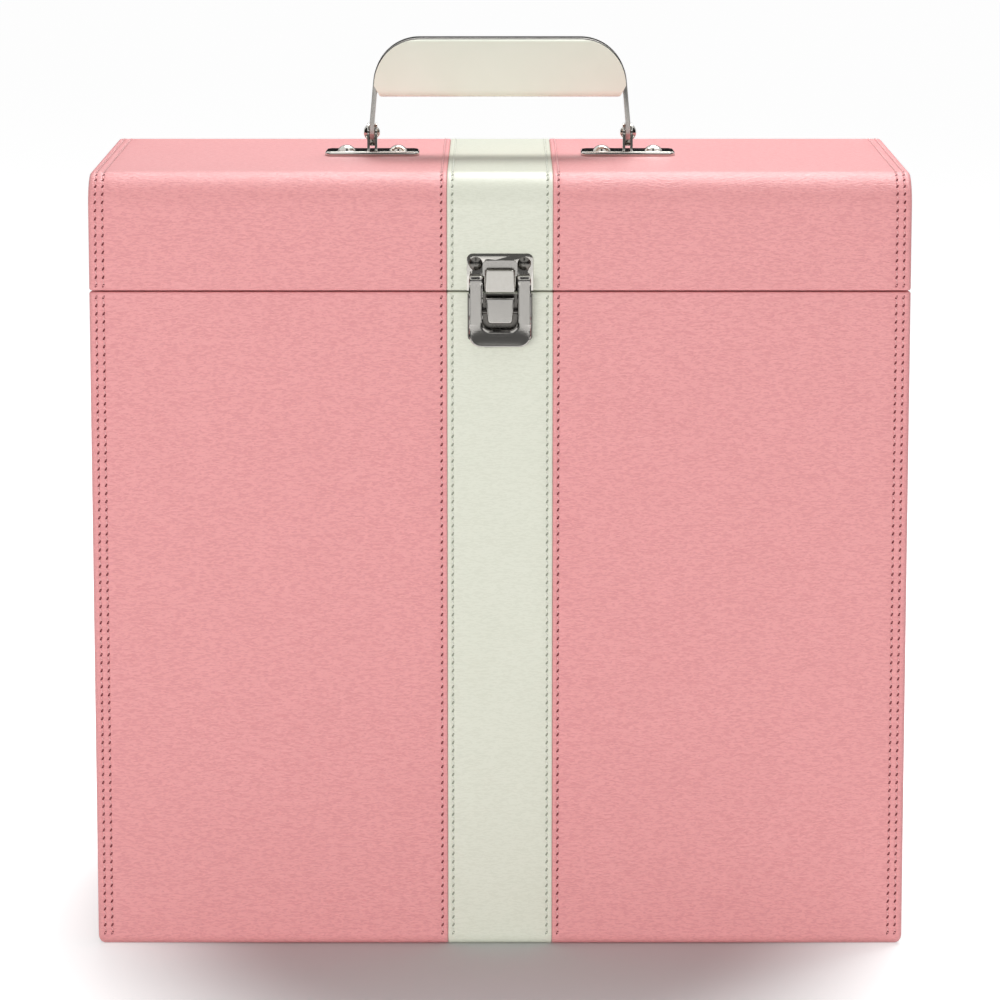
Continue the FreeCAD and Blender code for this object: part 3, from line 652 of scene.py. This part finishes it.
for part, body, paths in (("body", "case_body", [bodyPath(-1), bodyPath(1)]), ("lid", "lid", [lidPath()])):
    for colour, rows, thread, hole in (
        ("pink", pinkRows, pinkThread, pinkHoleShade),
        ("cream", creamRows, creamThread, creamHoleShade),
    ):
        bothSides = rows + [-row for row in rows]
        slot = colour + "_leatherette"
        # Threads, and dark drops of painted shade where the needle holes are
        for word, shape, start, material in (
            ("_threads", threadStitch, 0.5, thread),
            ("_needle_holes", needleHoleShade, 0.0, hole),
        ):
            name = part + "_" + colour + word
            finishPiece(stitchMesh(name, shape, start, paths, bothSides), name, material, body, [])
print("stitches sewn")


# Stamped metal and the grip: each piece keeps its CAD shape, with its sharp edges rounded over as drawing,
# tumbling or moulding leaves them
tumbling = {
    "radii": {
        "handle_strap": 0.35 * mm,
        "handle_grip": 0.3 * mm,
        "handle_left_foot": 0.2 * mm,
        "handle_right_foot": 0.2 * mm,
        "strike_plate": 0.25 * mm,
        "latch_tab": 0.2 * mm,
    },
    "segments": 2,
    "flatAngle": math.radians(0.8),
    "roundedAngle": math.radians(38),
    "sharpAngle": math.radians(40),
}


def tumbled(nodeName, material, body):
    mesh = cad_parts[nodeName].data.copy()
    shape = bmesh.new()
    shape.from_mesh(mesh)
    bmesh.ops.remove_doubles(shape, verts=shape.verts, dist=mergeReach)
    bmesh.ops.dissolve_limit(
        shape, angle_limit=tumbling["flatAngle"], verts=shape.verts, edges=shape.edges
    )
    sharp = [
        edge for edge in shape.edges
        if edge.is_manifold and edge.calc_face_angle() > tumbling["roundedAngle"]
    ]
    bmesh.ops.bevel(
        shape, geom=sharp, offset=tumbling["radii"][nodeName], offset_type="OFFSET",
        segments=tumbling["segments"], profile=0.5, affect="EDGES", clamp_overlap=True,
    )
    shape.to_mesh(mesh)
    shape.free()
    mesh.shade_smooth()
    mesh.set_sharp_from_angle(angle=tumbling["sharpAngle"])
    mesh.name = nodeName + "_finished"
    finishPiece(mesh, mesh.name, material, body, [nodeName])


# The latch frame is drawn from one sheet: its surface rolls back at the rim and into the slot, and the finger
# lip's corners turn back. Heights are measured up and down from the seam.
drawn = {
    "seam": (case["bodyRim"] + case["lidRim"]) / 2,
    "cut": 0.45 * mm,
    "near": 0.07 * mm,
    "halfSlot": 7.4 * mm,
    "slotBottom": -15.8 * mm,
    "slotRadius": 3.5 * mm,
    "rimRadius": 5.0 * mm,
    "shoulderTop": 7.7 * mm,
    "bend": 2.5 * mm,
    "flareStart": -13.2 * mm,
    "wallBottom": -16.0 * mm,
    "slotRoll": 1.5 * mm,
    "slotDepth": 1.1 * mm,
    "rimRoll": 1.0 * mm,
    "rimDepth": 0.8 * mm,
    "thinDepth": 0.45 * mm,
    "cornersBack": 1.0 * mm,
    "cornersFrom": 7.0 * mm,
    "bendMargin": 1 * mm,
    "cutReach": 0.001 * mm,
}
frameLow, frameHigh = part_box("latch_frame")
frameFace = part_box("latch_tab")[0].y


def beyondOutline(across, up, half, bottom, radius):
    # How far a point lies outside an upright shape that is open at its top and has rounded lower corners
    aside = abs(across) - (half - radius)
    below = bottom + radius - up
    return min(max(aside, below), 0) + math.hypot(max(aside, 0), max(below, 0)) - radius


def rollShare(inside, reach):
    # How deep a rolled edge lies, from 1 on the outline to 0 at the end of the roll
    left = min(max(1 - inside / reach, 0), 1)
    return 1 - math.sqrt(1 - left ** 2)


def frameSurface(y, up):
    # The outward way of the sheet's front at a point on it, and nothing for a point that isn't on it
    top, bend = drawn["shoulderTop"], drawn["bend"]
    if up <= top - bend:
        drop = drawn["flareStart"] - (frameLow.z - drawn["seam"])
        flare = frameFace - frameLow.y
        curve = (drop ** 2 + flare ** 2) / (2 * flare)
        below = max(drawn["flareStart"] - up, 0)
        onIt = abs(y - frameFace + curve - math.sqrt(curve ** 2 - below ** 2)) < drawn["near"]
        return (-1, 0) if onIt else None
    back, rise = y - (frameFace + bend), up - (top - bend)
    if back < 0:
        reach = math.hypot(back, rise)
        return (back / reach, rise / reach) if abs(reach - bend) < drawn["near"] else None
    return (0, 1) if abs(up - top) < drawn["near"] else None


def drawFrame():
    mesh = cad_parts["latch_frame"].data.copy()
    mesh.name = "latch_frame_drawn"
    sheet = bmesh.new()
    sheet.from_mesh(mesh)
    bmesh.ops.remove_doubles(sheet, verts=sheet.verts, dist=mergeReach)
    for axis in (0, 2):
        way = [0, 0, 0]
        way[axis] = 1
        for place in np.arange(frameLow[axis] + drawn["cut"], frameHigh[axis], drawn["cut"]):
            spot = [0, 0, 0]
            spot[axis] = place
            everything = sheet.verts[:] + sheet.edges[:] + sheet.faces[:]
            bmesh.ops.bisect_plane(
                sheet, geom=everything, dist=drawn["cutReach"], plane_co=spot, plane_no=way
            )
    bottom = frameLow.z - drawn["seam"]
    for vert in sheet.verts:
        across, up = vert.co.x, vert.co.z - drawn["seam"]
        outward = frameSurface(vert.co.y, up)
        if outward:
            bent = up > drawn["shoulderTop"] - drawn["bend"] - drawn["bendMargin"]
            onLip = up < drawn["wallBottom"]
            slotDepth = drawn["thinDepth"] if bent else drawn["slotDepth"]
            rimDepth = drawn["thinDepth"] if bent or onLip else drawn["rimDepth"]
            fromSlot = beyondOutline(across, up, drawn["halfSlot"], drawn["slotBottom"], drawn["slotRadius"])
            toRim = -beyondOutline(across, up, frameHigh.x, bottom, drawn["rimRadius"])
            sink = slotDepth * rollShare(fromSlot, drawn["slotRoll"])
            sink += rimDepth * rollShare(toRim, drawn["rimRoll"])
            vert.co.y -= outward[0] * sink
            vert.co.z -= outward[1] * sink
        low = min(max((drawn["flareStart"] - up) / (drawn["flareStart"] - bottom), 0), 1)
        aside = max(abs(across) - drawn["cornersFrom"], 0) / (frameHigh.x - drawn["cornersFrom"])
        vert.co.y += drawn["cornersBack"] * aside ** 2 * low
    sheet.to_mesh(mesh)
    sheet.free()
    mesh.shade_smooth()
    mesh.set_sharp_from_angle(angle=tumbling["sharpAngle"])
    finishPiece(mesh, mesh.name, satinNickel, "latch_frame", ["latch_frame"])


drawFrame()
tumbled("handle_strap", satinNickel, "handle")
tumbled("handle_left_foot", brightNickel, "lid")
tumbled("handle_right_foot", brightNickel, "lid")
tumbled("strike_plate", brightNickel, "lid")
tumbled("latch_tab", satinNickel, "latch_tab")
tumbled("handle_grip", gripVinyl, "handle")
print("metal pieces and grip rounded")

# What stays as the CAD made it gets its finish; the dull nickel's darker colour is partly painted shade
finishes = {
    "bright": (brightNickel, ["handle_foot_screws", "handle_left_pin", "handle_right_pin"]),
    # The dull nickel darkens the latch base and rivets as painted shade and painted reflection
    "dull": (
        dullShadedNickel,
        ["latch_base", "latch_base_rivets", "latch_link_pin", "latch_pivot_pin", "strike_rivets"],
    ),
    "lining": (liningPaper, ["body_lining", "lid_lining"]),
    "under": (pinkLeather, ["body_underside_cover"]),
}
for material, names in finishes.values():
    for name in names:
        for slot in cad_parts[name].material_slots:
            slot.material = material
for name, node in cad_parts.items():
    if name.endswith("_board"):
        for slot in node.material_slots:
            slot.material = boardFibre
    if name.startswith("hinge_") or name == "handle_tee_nuts":
        for slot in node.material_slots:
            slot.material = brightNickel
print("finishes assigned")

# Studio: a pale floor that glows white for the camera and reflections except round the case, where it keeps
# a pool of painted shadow on top of its real shadow, a softbox overhead and a little behind, a low one in
# front that reflections don't show, and cards that only reflections see, so that the nickel gets dark edges
studio = {
    "floorColour": "D2D2D2",
    "floorHalf": 30.0,
    # fade and glow: within these stretched distances of the case the white glow is held back, leaving a
    # painted shadow pool
    "fade": (0.19, 0.42),
    "shadowPoolStretch": (1.9, 1.0, 1.0),
    "glow": (0.0, 0.75),
    "roomLight": 0.36,
    "cameraPlace": (0, -1.985, 0.536),
    "cameraTilt": 9.23,
    "lens": 162.0,
    "sensor": 36,
    "shift": -0.07,
}
softboxes = {
    "overhead softbox": {
        "place": (0.3, 0.6, 1.6), "aim": (0, 0, 0.3), "size": (1.3, 0.9), "watts": 24.0, "mirrored": True,
    },
    "front softbox": {
        "place": (-0.5, -2.6, 0.42), "aim": (0, 0, 0.1), "size": (1.8, 0.9), "watts": 38.5, "mirrored": False,
    },
}
cards = {
    "left black card": {"place": (-1.75, -0.6, 0.7), "aim": (0, -0.6, 0.7), "size": (4.3, 1.7), "tone": 0.02},
    "right black card": {"place": (1.75, -0.6, 0.7), "aim": (0, -0.6, 0.7), "size": (4.3, 1.7), "tone": 0.02},
    "front grey card": {"place": (0, -3.1, 0.95), "aim": (0, 0, 0.95), "size": (4.0, 1.4), "tone": 0.13},
    "top black card": {"place": (0, -1.1, 2.1), "aim": (0, -0.1, 0.3), "size": (0.6, 1.8), "tone": 0.02},
    "back black card": {"place": (0, 2.4, 0.75), "aim": (0, 0, 0.75), "size": (2.8, 0.9), "tone": 0.02},
    "floor grey card": {"place": (0, -3.3, 0.005), "aim": (0, -3.3, -1), "size": (4.0, 4.2), "tone": 1.0},
}


def turned(place, aim):
    # The rotation that turns an object's back along its Z axis away from its aim
    away = np.array(place) - np.array(aim)
    away = away / np.linalg.norm(away)
    return math.acos(away[2]), 0, math.atan2(away[1], away[0]) + math.pi / 2


def stagePlane(name, halfWidth, halfHeight, material):
    mesh = bpy.data.meshes.new(name)
    corners = [(-halfWidth, -halfHeight, 0), (halfWidth, -halfHeight, 0), (halfWidth, halfHeight, 0)]
    mesh.from_pydata(corners + [(-halfWidth, halfHeight, 0)], [], [(0, 1, 2, 3)])
    mesh.materials.append(material)
    plane = bpy.data.objects.new(name, mesh)
    bpy.context.scene.collection.objects.link(plane)
    return plane


def seenDirectly(tree, through):
    # 1 for rays from the camera or off a glossy surface, and for rays through glass where asked
    ray = addNode(tree, "ShaderNodeLightPath", {}, {})
    kinds = ["Is Glossy Ray"] + (["Is Transmission Ray"] if through else [])
    seen = ray.outputs["Is Camera Ray"]
    for kind in kinds:
        both = addNode(
            tree, "ShaderNodeMath", {"operation": "ADD", "use_clamp": True}, {0: seen, 1: ray.outputs[kind]}
        )
        seen = both.outputs[0]
    return seen


floorMaterial, tree, place = startMaterial("pale studio floor with painted shadow pool")
floorPaint = addNode(
    tree, "ShaderNodeBsdfPrincipled",
    {"Base Color": toLinear(studio["floorColour"]), "Roughness": 0.6, "Specular IOR Level": 0.0}, {},
)
stretched = addNode(
    tree, "ShaderNodeVectorMath", {"operation": "MULTIPLY", 1: studio["shadowPoolStretch"]}, {0: place}
)
distance = addNode(tree, "ShaderNodeVectorMath", {"operation": "LENGTH"}, {0: stretched.outputs[0]})
# Painted shadow: no glow near the case, so the grey floor there reads as a shadow pool
glowBeyondShadowPool = addNode(
    tree, "ShaderNodeMapRange",
    {
        "interpolation_type": "SMOOTHSTEP", "From Min": studio["fade"][0], "From Max": studio["fade"][1],
        "To Min": studio["glow"][0], "To Max": studio["glow"][1],
    },
    {"Value": distance.outputs["Value"]},
)
glow = addNode(tree, "ShaderNodeEmission", {}, {"Strength": glowBeyondShadowPool.outputs["Result"]})
added = addNode(tree, "ShaderNodeMixShader", {}, {0: seenDirectly(tree, False), 2: glow.outputs[0]})
both = addNode(tree, "ShaderNodeAddShader", {}, {0: floorPaint.outputs[0], 1: added.outputs[0]})
addNode(tree, "ShaderNodeOutputMaterial", {}, {"Surface": both.outputs[0]})
stagePlane("floor", studio["floorHalf"], studio["floorHalf"], floorMaterial)

for name, card in cards.items():
    cardMaterial, tree = startMaterial("matt " + name)[:2]
    tone = addNode(tree, "ShaderNodeEmission", {"Strength": card["tone"]}, {})
    addNode(tree, "ShaderNodeOutputMaterial", {}, {"Surface": tone.outputs[0]})
    width, height = card["size"]
    plane = stagePlane(name, width / 2, height / 2, cardMaterial)
    plane.location = card["place"]
    plane.rotation_euler = turned(card["place"], card["aim"])
    plane.visible_camera = False
    plane.visible_diffuse = False
    plane.visible_transmission = False
    plane.visible_shadow = False

world = bpy.data.worlds.new("studio")
bpy.context.scene.world = world
world.use_nodes = True
tree = world.node_tree
tree.nodes.clear()
room = addNode(tree, "ShaderNodeBackground", {"Color": (1, 1, 1, 1), "Strength": studio["roomLight"]}, {})
white = addNode(tree, "ShaderNodeBackground", {"Color": (1, 1, 1, 1), "Strength": 1.0}, {})
mixed = addNode(
    tree, "ShaderNodeMixShader", {}, {0: seenDirectly(tree, True), 1: room.outputs[0], 2: white.outputs[0]}
)
addNode(tree, "ShaderNodeOutputWorld", {}, {"Surface": mixed.outputs[0]})

for name, softbox in softboxes.items():
    light = bpy.data.lights.new(name, "AREA")
    light.shape = "RECTANGLE"
    light.size, light.size_y = softbox["size"]
    light.energy = softbox["watts"]
    lamp = bpy.data.objects.new(name, light)
    bpy.context.scene.collection.objects.link(lamp)
    lamp.visible_glossy = softbox["mirrored"]
    lamp.location = softbox["place"]
    lamp.rotation_euler = turned(softbox["place"], softbox["aim"])

cameraData = bpy.data.cameras.new("camera")
cameraData.lens = studio["lens"]
cameraData.sensor_width = studio["sensor"]
cameraData.shift_y = studio["shift"]
camera = bpy.data.objects.new("camera", cameraData)
bpy.context.scene.collection.objects.link(camera)
camera.location = studio["cameraPlace"]
camera.rotation_euler = (math.radians(90 - studio["cameraTilt"]), 0, 0)
bpy.context.scene.camera = camera
bpy.context.scene.view_settings.view_transform = "Standard"
print("studio set")
